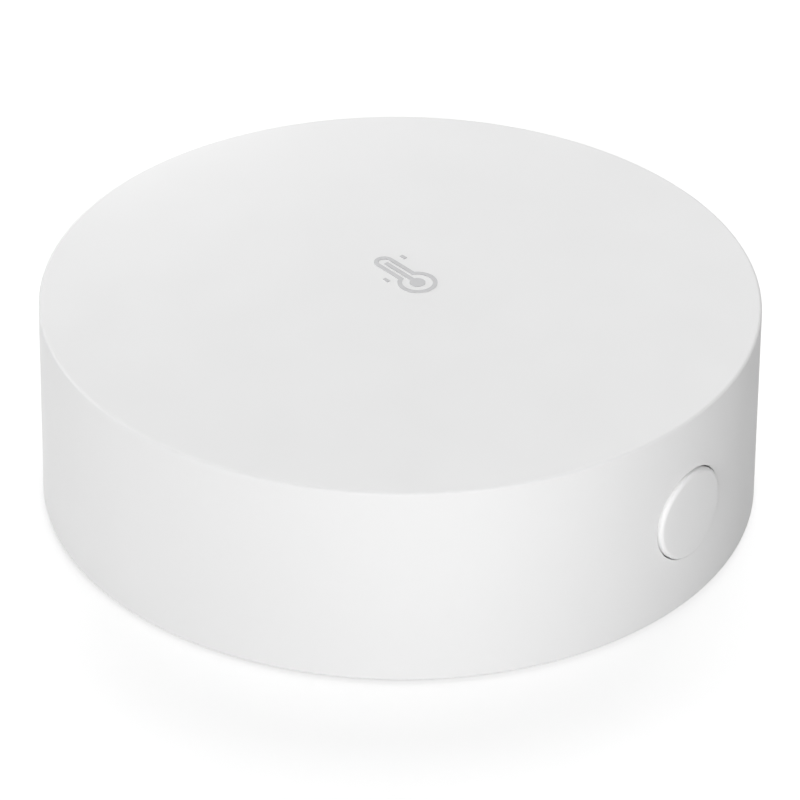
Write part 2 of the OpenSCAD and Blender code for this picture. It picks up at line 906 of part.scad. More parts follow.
module bulk_capacitors() {
    color("goldenrod") for (s = bulk_shares) at_share(s) {
        translate([0, 0, board_z - bulk_t]) rounded_plate(bulk_l, bulk_w, bulk_t, bulk_fillet);
    }
}

module small_capacitors() {
    color("tan") for (s = capacitor_shares) at_share(s) chip_part(small_l, small_w, capacitor_t);
}

module small_resistors() {
    color("black") for (s = resistor_shares) at_share(s) chip_part(small_w, small_l, resistor_t);
}

module programming_pads() {
    color("gold") for (i = [0:test_pad_count - 1]) {
        translate([(i - (test_pad_count - 1) / 2) * test_pad_pitch, test_pad_y, board_z - film_t])
            cylinder(r = test_pad_r, h = film_t);
    }
}

module tray_screws() {
    color("silver") at_screws() difference() {
        union() {
            translate([0, 0, ear_z - head_h]) rotate_extrude() {
                translate([0, head_fillet]) square([head_r, head_h - head_fillet]);
                square([head_r - head_fillet, head_h]);
                intersection() {
                    translate([head_r - head_fillet, head_fillet]) circle(head_fillet);
                    square([head_r, head_h]);
                }
            }
            translate([0, 0, ear_z - head_h / 2]) cylinder(
                r = screw_core_r, h = ceiling - screw_tip_gap - screw_tip_l - ear_z + head_h / 2
            );
            translate([0, 0, ceiling - screw_tip_gap - screw_tip_l])
                cylinder(r1 = screw_core_r, r2 = screw_core_r / 2, h = screw_tip_l);
        }
        for (turn = [0, 90]) {
            translate([0, 0, ear_z - head_h - over]) rotate([0, 0, turn])
                block(cross_l, cross_w, cross_deep + over);
        }
    }
}

housing();
printed_symbol();
button_cap();
base_cover();
mounting_pad();
battery_tray();
cell_front();
cell_rear();
cell_front_sleeve();
cell_rear_sleeve();
contact_positive();
contact_negative();
contact_bridge();
spring_front();
spring_rear();
circuit_board();
radio_board();
radio_shield();
radio_chip();
humidity_sensor();
switch_case();
switch_frame();
switch_dome();
switch_plunger();
switch_terminals();
status_led();
led_lens();
regulator();
crystal();
bulk_capacitors();
small_capacitors();
small_resistors();
programming_pads();
tray_screws();
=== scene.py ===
import bpy, bmesh, math
from mathutils import Matrix, Vector


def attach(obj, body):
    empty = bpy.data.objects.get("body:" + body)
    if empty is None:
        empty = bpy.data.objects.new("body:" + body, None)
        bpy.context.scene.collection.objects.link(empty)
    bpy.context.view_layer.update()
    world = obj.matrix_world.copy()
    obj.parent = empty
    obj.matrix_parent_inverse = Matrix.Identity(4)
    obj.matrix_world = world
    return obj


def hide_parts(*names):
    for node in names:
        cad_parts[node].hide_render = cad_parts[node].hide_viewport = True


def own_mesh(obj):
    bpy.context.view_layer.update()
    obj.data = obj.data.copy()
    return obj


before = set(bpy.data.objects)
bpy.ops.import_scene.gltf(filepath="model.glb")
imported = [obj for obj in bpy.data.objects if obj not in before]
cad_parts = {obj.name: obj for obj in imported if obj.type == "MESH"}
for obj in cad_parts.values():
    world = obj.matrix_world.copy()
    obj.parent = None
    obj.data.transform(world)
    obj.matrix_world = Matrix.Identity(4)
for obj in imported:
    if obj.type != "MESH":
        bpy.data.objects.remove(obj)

scene = bpy.context.scene
scene.view_settings.view_transform = "Standard"
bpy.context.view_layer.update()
mm = 0.001
print("frame loaded,", len(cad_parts), "parts")

# Shapes are drawn in millimetres and scaled to metres once, in makePiece.
turnToX = Matrix.Rotation(math.radians(90), 4, "Y")     # a shape spun round Z, laid along +X
turnToY = Matrix.Rotation(math.radians(-90), 4, "X")    # the same, laid along +Y
halfTurn = Matrix.Rotation(math.pi, 4, "Z")
meshing = {
    "weld": 0.0005, "copyWeld": 0.002, "flatAngle": 0.5, "sharpAngle": 30, "smoothAngle": 35, "overcut": 1,
}


def arcPoints(centre, radius, start, end, steps):
    angles = [math.radians(start + (end - start) * i / steps) for i in range(steps + 1)]
    return [(centre[0] + radius * math.cos(a), centre[1] + radius * math.sin(a)) for a in angles]


def zTurn(angle):
    return Matrix.Rotation(math.radians(angle), 4, "Z")


def tidyShape(bm):
    bmesh.ops.remove_doubles(bm, verts=bm.verts[:], dist=meshing["weld"])
    bmesh.ops.recalc_face_normals(bm, faces=bm.faces[:])
    return bm


def moved(bm, matrix):
    bmesh.ops.transform(bm, verts=bm.verts[:], matrix=matrix)
    return bm


def bevelEdges(bm, edges, amount, segments=2, clamp=False):
    bmesh.ops.bevel(bm, geom=edges, offset=amount, segments=segments, profile=0.5, affect="EDGES",
                    material=-1, clamp_overlap=clamp)
    return bm


# Spins a section of (distance from the axis, height) points all the way round Z
def spinSection(points, steps, ring=False):
    bm = bmesh.new()
    verts = [bm.verts.new((r, 0, z)) for r, z in points]
    edges = [bm.edges.new(pair) for pair in zip(verts, verts[1:])]
    if ring:
        edges.append(bm.edges.new((verts[-1], verts[0])))
    bmesh.ops.spin(bm, geom=verts + edges, axis=(0, 0, 1), cent=(0, 0, 0), dvec=(0, 0, 0),
                   angle=math.tau, steps=steps, use_merge=True, use_duplicate=False)
    bmesh.ops.remove_doubles(bm, verts=bm.verts[:], dist=meshing["weld"])
    openEdges = [e for e in bm.edges if e.is_boundary]
    if openEdges:
        bmesh.ops.holes_fill(bm, edges=openEdges, sides=0)
    return tidyShape(bm)


# A plain round pin that cuts a hole or a mark
def pinAt(x, y, radius, low, high, steps):
    return moved(spinSection([(radius, low), (radius, high)], steps), Matrix.Translation((x, y, 0)))


# A flat outline pushed along one direction into a closed shape
def pushOutline(points, along):
    bm = bmesh.new()
    face = bm.faces.new([bm.verts.new(point) for point in points])
    grown = bmesh.ops.extrude_face_region(bm, geom=[face])["geom"]
    bmesh.ops.translate(bm, vec=along, verts=[g for g in grown if isinstance(g, bmesh.types.BMVert)])
    return tidyShape(bm)


def roundedBox(low, high, rounding):
    bm = bmesh.new()
    low, high = Vector(low), Vector(high)
    size = high - low
    bmesh.ops.create_cube(bm, size=1, matrix=Matrix.Translation((low + high) / 2) @ Matrix.Diagonal((*size, 1)))
    return bevelEdges(bm, bm.edges[:], rounding)


# A box that stands at an angle round the case, from one radius to another
def radialBox(angle, near, far, width, low, high, rounding):
    return moved(roundedBox((near, -width / 2, low), (far, width / 2, high), rounding), zTurn(angle))


def addShape(bm, shape):
    part = bpy.data.meshes.new("part")
    shape.to_mesh(part)
    shape.free()
    bm.from_mesh(part)
    bpy.data.meshes.remove(part)


def gather(shapes):
    bm = bmesh.new()
    for shape in shapes:
        addShape(bm, shape)
    return bm


# Joins or cuts two closed shapes with the exact solver
def combine(bm, tool, operation):
    pair = []
    for shape in (bm, tool):
        mesh = bpy.data.meshes.new("work")
        shape.to_mesh(mesh)
        shape.free()
        thing = bpy.data.objects.new("work", mesh)
        scene.collection.objects.link(thing)
        pair.append(thing)
    cut = pair[0].modifiers.new("cut", "BOOLEAN")
    cut.operation, cut.solver, cut.object = operation, "EXACT", pair[1]
    done = bpy.data.meshes.new_from_object(pair[0].evaluated_get(bpy.context.evaluated_depsgraph_get()))
    result = bmesh.new()
    result.from_mesh(done)
    bpy.data.meshes.remove(done)
    for thing in pair:
        bpy.data.meshes.remove(thing.data)
    return result


def makePiece(name, bm, body, materials, nodes, evenNormals=True):
    bmesh.ops.scale(bm, vec=(mm, mm, mm), verts=bm.verts[:])
    mesh = bpy.data.meshes.new(name)
    bm.to_mesh(mesh)
    bm.free()
    mesh.shade_smooth()
    mesh.set_sharp_from_angle(angle=math.radians(meshing["smoothAngle"]))
    for material in materials:
        mesh.materials.append(material)
    piece = bpy.data.objects.new(name, mesh)
    scene.collection.objects.link(piece)
    if evenNormals:
        even = piece.modifiers.new("even normals", "WEIGHTED_NORMAL")
        even.keep_sharp = True
    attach(piece, body)
    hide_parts(*nodes)
    print("made", name, len(mesh.polygons), "faces")
    return piece


# A CAD part taken over as one merged mesh, with its sharp edges rounded
def partCopy(node, rounding):
    bm = bmesh.new()
    bm.from_mesh(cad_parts[node].data)
    bmesh.ops.scale(bm, vec=(1 / mm,) * 3, verts=bm.verts[:])
    bmesh.ops.remove_doubles(bm, verts=bm.verts[:], dist=meshing["copyWeld"])
    bmesh.ops.dissolve_limit(bm, angle_limit=math.radians(meshing["flatAngle"]), use_dissolve_boundaries=False,
                             verts=bm.verts[:], edges=bm.edges[:])
    bmesh.ops.recalc_face_normals(bm, faces=bm.faces[:])
    if rounding:
        turn = math.radians(meshing["sharpAngle"])
        sharp = [e for e in bm.edges if len(e.link_faces) == 2 and e.calc_face_angle() > turn]
        bevelEdges(bm, sharp, rounding, clamp=True)
    return bm


# Materials. Every pattern follows Object coordinates, which are metres on the sensor itself.
def startMaterial(name):
    material = bpy.data.materials.new(name)
    material.use_nodes = True
    return material, material.node_tree.nodes["Principled BSDF"]


def feed(owner, node, inputs):
    for key, value in inputs.items():
        if isinstance(value, bpy.types.NodeSocket):
            owner.node_tree.links.new(value, node.inputs[key])
        else:
            node.inputs[key].default_value = value


def addNode(owner, kind, inputs, **settings):
    node = owner.node_tree.nodes.new("ShaderNode" + kind)
    for key, value in settings.items():
        setattr(node, key, value)
    feed(owner, node, inputs)
    return node


def place(material, stretch=(1, 1, 1)):
    coords = addNode(material, "TexCoord", {})
    return addNode(material, "Mapping", {"Vector": coords.outputs["Object"], "Scale": stretch}).outputs[0]


def noise(material, vector, sizeInMm, detail, roughness=0.5):
    return addNode(material, "TexNoise", {"Vector": vector, "Scale": 1 / (sizeInMm * mm),
                                          "Detail": detail, "Roughness": roughness}).outputs["Fac"]


def fromTo(material, value, low, high, start=0.3, stop=0.7):
    return addNode(material, "MapRange", {"Value": value, "From Min": start, "From Max": stop,
                                          "To Min": low, "To Max": high}).outputs[0]


def bump(material, height, depthInMm, strength=1.0):
    return addNode(material, "Bump", {
        "Height": height, "Distance": depthInMm * mm, "Strength": strength}).outputs[0]


def blend(material, factor, first, second):
    first, second = [c if isinstance(c, bpy.types.NodeSocket) else (*c, 1) for c in (first, second)]
    return addNode(material, "Mix", {0: factor, 6: first, 7: second}, data_type="RGBA").outputs[2]


def shade(colour, amount):
    return tuple(min(1.0, c * amount) for c in colour)


# Moulded plastic: a fine spark-eroded grain, slow changes of tone, and gloss that varies a little
plastic = {"ior": 1.46, "specular": 0.5, "sheenShare": 0.4, "grainRoughness": 0.6, "coatRoughness": 0.06}


def plasticFinish(name, look):
    material, surface = startMaterial(name)
    vector = place(material)
    tone = fromTo(material, noise(material, vector, look["toneSize"], 3), 0, 1)
    sheen = noise(material, vector, look["toneSize"] * plastic["sheenShare"], 2)
    grain = noise(material, vector, look["grainSize"], 3, plastic["grainRoughness"])
    feed(material, surface, {
        "Base Color": blend(material, tone, shade(look["colour"], 1 - look["toneDepth"]),
                            shade(look["colour"], 1 + look["toneDepth"])),
        "Roughness": fromTo(material, sheen, look["roughness"] - look["roughnessDepth"],
                            look["roughness"] + look["roughnessDepth"]),
        "Normal": bump(material, grain, look["grainDepth"]),
        "IOR": plastic["ior"],
        "Specular IOR Level": look.get("specular", plastic["specular"])})
    if "coat" in look:
        feed(material, surface, {"Coat Weight": look["coat"], "Coat Roughness": plastic["coatRoughness"]})
    return material


# Metal: rolling or turning marks stretched along one direction, over a soft variation
metal = {
    "dark": 0.93, "light": 1.04, "streakShade": 0.82, "streakShare": 0.35, "streakRoughness": 0.65,
    "smoother": 0.07, "rougher": 0.09,
}


def metalFinish(name, look):
    material, surface = startMaterial(name)
    streaks = noise(material, place(material, look["stretch"]), look["streakSize"], 3, metal["streakRoughness"])
    tone = fromTo(material, noise(material, place(material), look["toneSize"], 3), 0, 1)
    colour = blend(material, tone, shade(look["colour"], metal["dark"]), shade(look["colour"], metal["light"]))
    feed(material, surface, {
        "Base Color": blend(material, fromTo(material, streaks, 0, metal["streakShare"]), colour,
                            shade(look["colour"], metal["streakShade"])),
        "Roughness": fromTo(material, streaks, look["roughness"] - metal["smoother"],
                            look["roughness"] + metal["rougher"]),
        "Normal": bump(material, streaks, look["streakDepth"]),
        "Metallic": 1.0})
    return material


# A CAD part that stays in the picture, with a finish of its own
def dressPart(node, finish):
    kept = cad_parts[node]
    kept.data.materials.clear()
    kept.data.materials.append(finish)


# Camera: the view fitted to the photograph's outlines, taken as 800 x 800
cameraLook = {
    "place": (-376.9519, -292.1832, 311.5128),
    "turn": (57.58194, -0.47324, -51.92563),
    "lens": 279.72, "sensor": 36, "nearest": 0.01, "farthest": 20,
}
cameraData = bpy.data.cameras.new("camera")
cameraData.lens = cameraLook["lens"]
cameraData.sensor_width = cameraLook["sensor"]
cameraData.clip_start, cameraData.clip_end = cameraLook["nearest"], cameraLook["farthest"]
camera = bpy.data.objects.new("camera", cameraData)
camera.location = Vector(cameraLook["place"]) * mm
camera.rotation_euler = [math.radians(a) for a in cameraLook["turn"]]
scene.collection.objects.link(camera)
scene.camera = camera
print("camera placed")


# A strength that only camera, mirror and glass rays see
def seenStrength(owner, amount):
    ray = addNode(owner, "LightPath", {})
    seen = ray.outputs["Is Camera Ray"]
    for kind in ("Is Glossy Ray", "Is Transmission Ray"):
        seen = addNode(owner, "Math", {0: seen, 1: ray.outputs[kind]}, operation="MAXIMUM").outputs[0]
    return addNode(owner, "Math", {0: seen, 1: amount}, operation="MULTIPLY").outputs[0]


# Floor, pale all over. The camera sees it lifted to white, and the sensor's shadow stays on it.
stage = {
    "floorSize": 6000, "floorHeight": -0.01, "floorColour": (0.45, 0.45, 0.45), "toneSize": 40,
    "toneDepth": 0.005, "roughness": 0.9, "lift": 0.65, "backdrop": 1.0,
}
floorShape = bmesh.new()
bmesh.ops.create_grid(floorShape, x_segments=2, y_segments=2, size=stage["floorSize"] / 2 * mm,
                      matrix=Matrix.Translation((0, 0, stage["floorHeight"] * mm)))
floorMesh = bpy.data.meshes.new("floor")
floorShape.to_mesh(floorMesh)
floorShape.free()
floor = bpy.data.objects.new("floor", floorMesh)
scene.collection.objects.link(floor)
paper, paperSurface = startMaterial("floorPaper")
paperTone = fromTo(paper, noise(paper, place(paper), stage["toneSize"], 2), 0, 1)
feed(paper, paperSurface, {
    "Base Color": blend(paper, paperTone, shade(stage["floorColour"], 1 - stage["toneDepth"]),
                        shade(stage["floorColour"], 1 + stage["toneDepth"])),
    "Roughness": stage["roughness"],
    "Emission Color": (1, 1, 1, 1),
    "Emission Strength": seenStrength(paper, stage["lift"])})
floorMesh.materials.append(paper)

world = bpy.data.worlds.new("studio")
scene.world = world
world.use_nodes = True
feed(world, world.node_tree.nodes["Background"], {
    "Color": (1, 1, 1, 1), "Strength": seenStrength(world, stage["backdrop"])})

# Studio lights, each given by its angle round the sensor, its height angle, distance, size and power
lights = {
    "frontSoftbox": {"angle": -127, "rise": 38, "distance": 800, "size": (600, 500), "power": 3.1, "aim": 10},
    "frontLow": {"angle": -147, "rise": 6, "distance": 800, "size": (500, 160), "power": 3.05, "aim": 10},
    "leftBack": {"angle": 108, "rise": 6, "distance": 800, "size": (500, 160), "power": 3.0, "aim": 10},
    "highBack": {"angle": 34, "rise": 50, "distance": 800, "size": (600, 500), "power": 4.57, "aim": 10},
    "rimGlow": {"angle": 71, "rise": 14.5, "distance": 60, "size": (30, 14), "power": 0.0022, "aim": 19},
}
for name, look in lights.items():
    data = bpy.data.lights.new(name, "AREA")
    data.shape = "RECTANGLE"
    data.size, data.size_y = [side * mm for side in look["size"]]
    data.energy = look["power"]
    lamp = bpy.data.objects.new(name, data)
    angle, rise = math.radians(look["angle"]), math.radians(look["rise"])
    aim = Vector((0, 0, look["aim"] * mm))
    lamp.location = aim + look["distance"] * mm * Vector(
        (math.cos(angle) * math.cos(rise), math.sin(angle) * math.cos(rise), math.sin(rise)))
    lamp.rotation_euler = (aim - lamp.location).to_track_quat("-Z", "Y").to_euler()
    lamp.visible_camera = False
    scene.collection.objects.link(lamp)
print("studio ready")


# Cover: side wall and flat top, with the ribs, ledges and posts inside it
cover = {
    "radius": 32.5, "wall": 1.8, "foot": 0.3, "ceiling": 18.0, "top": 19.8, "steps": 384, "rootDepth": 0.9,
    "rimRounding": 0.3, "footRounding": 0.15, "mouthRounding": 0.1, "innerRounding": 0.8,
    "ribAngles": (0, 20, 62, 118, 160, 173.93, 186.07, 200, 245, 295, 340), "ribInner": 29.8,
    "ribThickness": 1.2, "ribFoot": 2.15, "ribRounding": 0.15,
    "ledgeAngles": (45, 135, 225, 315), "ledgeInner": 30.05, "ledgeWidth": 8, "ledge": (4.0, 5.2),
    "postPlaces": ((18, 17), (-18, 17), (-18, -17), (18, -17)), "postRadius": 2.5, "postFoot": 15,
    "postRounding": 0.2, "pilot": 0.85,
    "chamberSide": 7.0, "chamberBack": 19.9, "chamberFoot": 15.3, "chamberRounding": 0.12,
    "buttonHole": 4.45, "buttonHeight": 9.8,
    "slots": 7, "slotTurn": 5.6416, "slotWidth": 1.4, "slotHeight": 7, "slotNear": 29.3, "slotReach": 5,
    "ejectorPlaces": ((0, -12), (-13, 6), (13, 6)), "ejectorRadius": 2.0, "ejectorDepth": 0.05,
    "edgeRounding": 0.07, "edgeTurn": 0.8, "edgeBand": 0.06, "edgeMargin": 1,
}


def coverShape(look):
    outer, inner = look["radius"], look["radius"] - look["wall"]
    top, ceiling, foot = look["top"], look["ceiling"], look["foot"]
    root, over = top - look["rootDepth"], meshing["overcut"]
    rim, heel, mouth, lip = [look[part + "Rounding"] for part in ("rim", "foot", "mouth", "inner")]
    section = arcPoints((outer - rim, top - rim), rim, 90, 0, 10)
    section += arcPoints((outer - heel, foot + heel), heel, 0, -90, 5)
    section += arcPoints((inner + mouth, foot + mouth), mouth, -90, -180, 2)
    section += arcPoints((inner - lip, ceiling - lip), lip, 0, 90, 8)
    bm = spinSection(section, look["steps"])

    # Ribs, snap ledges and screw posts
    deep, soft = (outer + inner) / 2, look["ribRounding"]
    stubs = [radialBox(a, look["ribInner"], deep, look["ribThickness"], look["ribFoot"], root, soft)
             for a in look["ribAngles"]]
    stubs += [radialBox(a, look["ledgeInner"], deep, look["ledgeWidth"], *look["ledge"], soft)
              for a in look["ledgeAngles"]]
    r, soft = look["postRadius"], look["postRounding"]
    post = arcPoints((r - soft, look["postFoot"] + soft), soft, -90, 0, 3) + [(r, root)]
    stubs += [moved(spinSection(post, 64), Matrix.Translation((x, y, 0))) for x, y in look["postPlaces"]]
    bm = combine(bm, gather(stubs), "UNION")

    # Chamber walls round the sensing chip
    side, back, half = look["chamberSide"], look["chamberBack"], look["ribThickness"] / 2
    low, soft = look["chamberFoot"], look["chamberRounding"]
    walls = [roundedBox((x - half, back, low), (x + half, inner - lip, root), soft) for x in (-side, side)]
    bm = combine(bm, gather(walls), "UNION")
    bm = combine(bm, roundedBox((-side, back - half, low), (side, back + half, root), soft), "UNION")

    # Button hole, air slots, screw pilots and ejector marks
    hole = pinAt(0, 0, look["buttonHole"], -outer - over, -look["ribInner"] + over, 96)
    cuts = [moved(hole, Matrix.Translation((0, 0, look["buttonHeight"])) @ turnToY)]
    half = look["slotWidth"] / 2
    end = look["slotHeight"] / 2 - half
    outline = arcPoints((0, end), half, 0, 180, 12) + arcPoints((0, -end), half, 180, 360, 12)
    for i in range(look["slots"]):
        slot = pushOutline([(0, u, v) for u, v in outline], (look["slotReach"], 0, 0))
        turn = zTurn(90 + (i - (look["slots"] - 1) / 2) * look["slotTurn"])
        cuts.append(moved(slot, turn @ Matrix.Translation((look["slotNear"], 0, look["buttonHeight"]))))
    cuts += [pinAt(x, y, look["pilot"], look["postFoot"] - over, ceiling, 32) for x, y in look["postPlaces"]]
    cuts += [pinAt(x, y, look["ejectorRadius"], ceiling - over, ceiling + look["ejectorDepth"], 48)
             for x, y in look["ejectorPlaces"]]
    bm = combine(bm, gather(cuts), "DIFFERENCE")

    # The edges of the hole and the slots in the outer face
    low, high = foot + look["edgeMargin"], top - look["edgeMargin"]
    edges = [e for e in bm.edges if len(e.link_faces) == 2 and e.calc_face_angle() > look["edgeTurn"] and all(
        v.co.xy.length > outer - look["edgeBand"] and low < v.co.z < high for v in e.verts)]
    bevelEdges(bm, edges, look["edgeRounding"], 3)
    for v in bm.verts:
        if v.co.xy.length > outer:
            v.co.xy *= outer / v.co.xy.length
    return bm


coverFinish = plasticFinish("coverPlastic", {
    "colour": (0.86, 0.86, 0.86), "toneSize": 14, "toneDepth": 0.004, "roughness": 0.5, "roughnessDepth": 0.03,
    "grainSize": 0.16, "grainDepth": 0.0016, "specular": 0.3})
makePiece("coverShell", coverShape(cover), "sensor_body", [coverFinish], ["housing"])

# Button: its face follows the wall's curve, and a flange behind the wall holds it in
button = {
    "height": 9.8, "radius": 4.33, "faceCurve": 32.9, "faceSteps": 8, "rounding": 0.35, "steps": 128,
    "flangeRadius": 5.45, "flangeCurve": 30.6, "flangeBack": 29.2, "stemRadius": 1.6, "stemEnd": 26.2,
    "edgeRounding": 0.12, "rootRounding": 0.2, "faceZone": 0.5, "flangeZone": 0.2, "flangeFrom": 4,
}


# How far a round face falls back at a distance from its middle
def fallBack(radius, x):
    return radius - math.sqrt(radius ** 2 - x ** 2)


def buttonShape(look):
    r, soft, edge, root = look["radius"], look["rounding"], look["edgeRounding"], look["rootRounding"]
    face, curve, flange, back = look["faceCurve"], look["flangeCurve"], look["flangeRadius"], look["flangeBack"]
    section = [(i * (r - soft) / look["faceSteps"], -face) for i in range(look["faceSteps"])]
    section += arcPoints((r - soft, soft - face), soft, -90, 0, 8)
    section += [(r, -curve)]
    section += arcPoints((flange - edge, edge - curve), edge, -90, 0, 3)
    section += [(flange, -back)]
    section += arcPoints((look["stemRadius"] + root, root - back), root, -90, -180, 3)
    section += arcPoints((look["stemRadius"] - edge, -look["stemEnd"] - edge), edge, 0, 90, 3)
    bm = spinSection(section, look["steps"])
    for v in bm.verts:
        if v.co.z < -curve - look["faceZone"]:
            v.co.z += fallBack(face, v.co.x)
        elif v.co.z < -curve + look["flangeZone"] and v.co.xy.length > look["flangeFrom"]:
            v.co.z += fallBack(curve, v.co.x)
    return moved(bm, Matrix.Translation((0, 0, look["height"])) @ turnToY)


buttonFinish = plasticFinish("buttonPlastic", {
    "colour": (0.86, 0.86, 0.86), "toneSize": 6, "toneDepth": 0.004, "roughness": 0.46, "roughnessDepth": 0.03,
    "grainSize": 0.14, "grainDepth": 0.0012, "specular": 0.3})
makePiece("pushButton", buttonShape(button), "button", [buttonFinish], ["button_cap"])

# Printed thermometer: pad-printed ink, slightly uneven in density
inkFinish = plasticFinish("greyInk", {
    "colour": (0.54, 0.54, 0.55), "toneSize": 1.2, "toneDepth": 0.03, "roughness": 0.5, "roughnessDepth": 0.06,
    "grainSize": 0.09, "grainDepth": 0.0015})
dressPart("printed_symbol", inkFinish)
print("cover, button and symbol done")

# Base cover: plate with snap hooks, a locating ring and key, and a recess for the adhesive pad
base = {
    "radius": 30.5, "foot": 0.3, "top": 2.1, "steps": 256, "rootDepth": 0.9,
    "rounding": 0.25, "edgeRounding": 0.15, "hookRounding": 0.12, "barbRounding": 0.1, "keyRounding": 0.15,
    "recessRadius": 20.2, "recessTop": 1.0, "ringOuter": 28.6, "ringInner": 27.6, "ringTop": 2.9,
    "hookAngles": (45, 135, 225, 315), "hook": (28.9, 29.9), "hookWidth": 6, "hookTop": 6.6,
    "barbReach": 0.5, "barbHeight": 1.2, "barbLead": 0.5,
    "keyAngle": 180, "key": (29.1, 30.3), "keyWidth": 4.6, "keyTop": 4.7, "notchRadius": 3, "notchDepth": 0.6,
    "ejectorPlaces": ((0, 23), (0, -23), (24, 0), (-24, 0)), "ejectorRadius": 2.5, "ejectorDepth": 0.06,
    "ejectorCut": 0.4,
}


def baseShape(look):
    r, foot, top, soft, edge = look["radius"], look["foot"], look["top"], look["rounding"], look["edgeRounding"]
    recess, ringTop = look["recessRadius"], look["ringTop"]
    ringOuter, ringInner = look["ringOuter"], look["ringInner"]
    section = [(recess, look["recessTop"])]
    section += arcPoints((recess + edge, foot + edge), edge, 180, 270, 3)
    section += arcPoints((r - soft, foot + soft), soft, -90, 0, 5)
    section += arcPoints((r - soft, top - soft), soft, 0, 90, 5)
    section += [(ringOuter, top)]
    section += arcPoints((ringOuter - edge, ringTop - edge), edge, 0, 90, 3)
    section += arcPoints((ringInner + edge, ringTop - edge), edge, 90, 180, 3)
    section += [(ringInner, top)]
    bm = spinSection(section, look["steps"])

    # Hooks and key, then the hooks' barbs
    (near, far), width, root, high = look["hook"], look["hookWidth"], top - look["rootDepth"], look["hookTop"]
    parts = [radialBox(a, near, far, width, root, high, look["hookRounding"]) for a in look["hookAngles"]]
    parts.append(radialBox(look["keyAngle"], *look["key"], look["keyWidth"], root, look["keyTop"],
                           look["keyRounding"]))
    bm = combine(bm, gather(parts), "UNION")
    low = high - look["barbHeight"]
    middle, reach = (near + far) / 2, far + look["barbReach"]
    corners = ((middle, low), (reach, low), (reach, high - look["barbLead"]), (far, high), (middle, high))
    barbs = []
    for a in look["hookAngles"]:
        barb = pushOutline([(x, -width / 2, z) for x, z in corners], (0, width, 0))
        barbs.append(moved(bevelEdges(barb, barb.edges[:], look["barbRounding"]), zTurn(a)))
    bm = combine(bm, gather(barbs), "UNION")

    # Finger notch and ejector marks
    notch, over = look["notchRadius"], meshing["overcut"]
    cuts = [pinAt(r + notch - look["notchDepth"], 0, notch, foot - over, top + over, 96)]
    cuts += [pinAt(x, y, look["ejectorRadius"], top - look["ejectorDepth"], top + look["ejectorCut"], 48)
             for x, y in look["ejectorPlaces"]]
    return combine(bm, gather(cuts), "DIFFERENCE")


baseFinish = plasticFinish("basePlastic", {
    "colour": (0.84, 0.84, 0.84), "toneSize": 11, "toneDepth": 0.006, "roughness": 0.46, "roughnessDepth": 0.04,
    "grainSize": 0.3, "grainDepth": 0.006})
makePiece("basePlate", baseShape(base), "base", [baseFinish], ["base_cover"])

# Adhesive pad: closed-cell foam, die cut, so its edge is a little uneven
pad = {
    "radius": 20.0, "top": 1.0, "edge": 0.18, "waist": ((0.06, 0.35), (0.08, 0.6)), "lip": 0.05, "steps": 256,
    "colour": (0.75, 0.75, 0.74), "dark": 0.96, "light": 1.03, "toneSize": 5,
    "cellSize": 0.42, "cellDepth": 0.05, "cellBump": 0.9, "pitPaintedShade": 0.72, "pitPaintedShadeShare": 0.35,
    "cellWall": 0.45, "roughness": 0.88, "specular": 0.3,
}
padSection = arcPoints((pad["radius"] - pad["edge"], pad["edge"]), pad["edge"], -90, 0, 4)
padSection += [(pad["radius"] - inward, height) for inward, height in pad["waist"]]
padSection += [(pad["radius"], pad["top"] - pad["lip"]), (pad["radius"] - pad["lip"], pad["top"])]
foam, foamSurface = startMaterial("foamPad")
foamPlace = place(foam)
foamCells = addNode(foam, "TexVoronoi", {
    "Vector": foamPlace, "Scale": 1 / (pad["cellSize"] * mm), "Randomness": 1.0}).outputs["Distance"]
foamTone = fromTo(foam, noise(foam, foamPlace, pad["toneSize"], 3), 0, 1)
foamColour = blend(foam, foamTone, shade(pad["colour"], pad["dark"]), shade(pad["colour"], pad["light"]))
# Base colour: the foam cells' pits, which the bump below makes, are darkened, which is painted shade in the
# recesses over the real bump
feed(foam, foamSurface, {
    "Base Color": blend(foam, fromTo(foam, foamCells, pad["pitPaintedShadeShare"], 0, 0.0, pad["cellWall"]), foamColour,
                        shade(pad["colour"], pad["pitPaintedShade"])),
    "Roughness": pad["roughness"],
    "Specular IOR Level": pad["specular"],
    "Normal": bump(foam, foamCells, pad["cellDepth"], pad["cellBump"])})
makePiece("adhesivePad", spinSection(padSection, pad["steps"]), "base", [foam], ["mounting_pad"])

# Battery tray, screwed under the board
trayFinish = plasticFinish("trayPlastic", {
    "colour": (0.82, 0.82, 0.8), "toneSize": 9, "toneDepth": 0.008, "roughness": 0.48, "roughnessDepth": 0.05,
    "grainSize": 0.26, "grainDepth": 0.006})
makePiece("batteryTray", partCopy("battery_tray", 0.15), "sensor_body", [trayFinish],
          ["battery_tray"])

# Cells: nickel-plated steel cans with a crimped shoulder, in a plain shrink sleeve with one light band
cell = {
    "length": 44.5, "canRadius": 5.01, "canLength": 43.3, "rounding": 0.6, "steps": 128,
    "foot": ((3.2, 0.0), (3.35, 0.1), (3.6, 0.1), (3.75, 0.0)), "crimp": (3.6, 3.45), "crimpDepth": 0.12,
    "nubRadius": 1.9, "nubRoot": 0.18, "nubRounding": 0.25,
    "sleeveRadius": 5.15, "sleeveWall": 0.12, "lipTurn": 50, "bandFrom": 35.5, "bandTo": 38.5,
    "height": 7.55, "side": 5.8, "tip": 24.35,
}


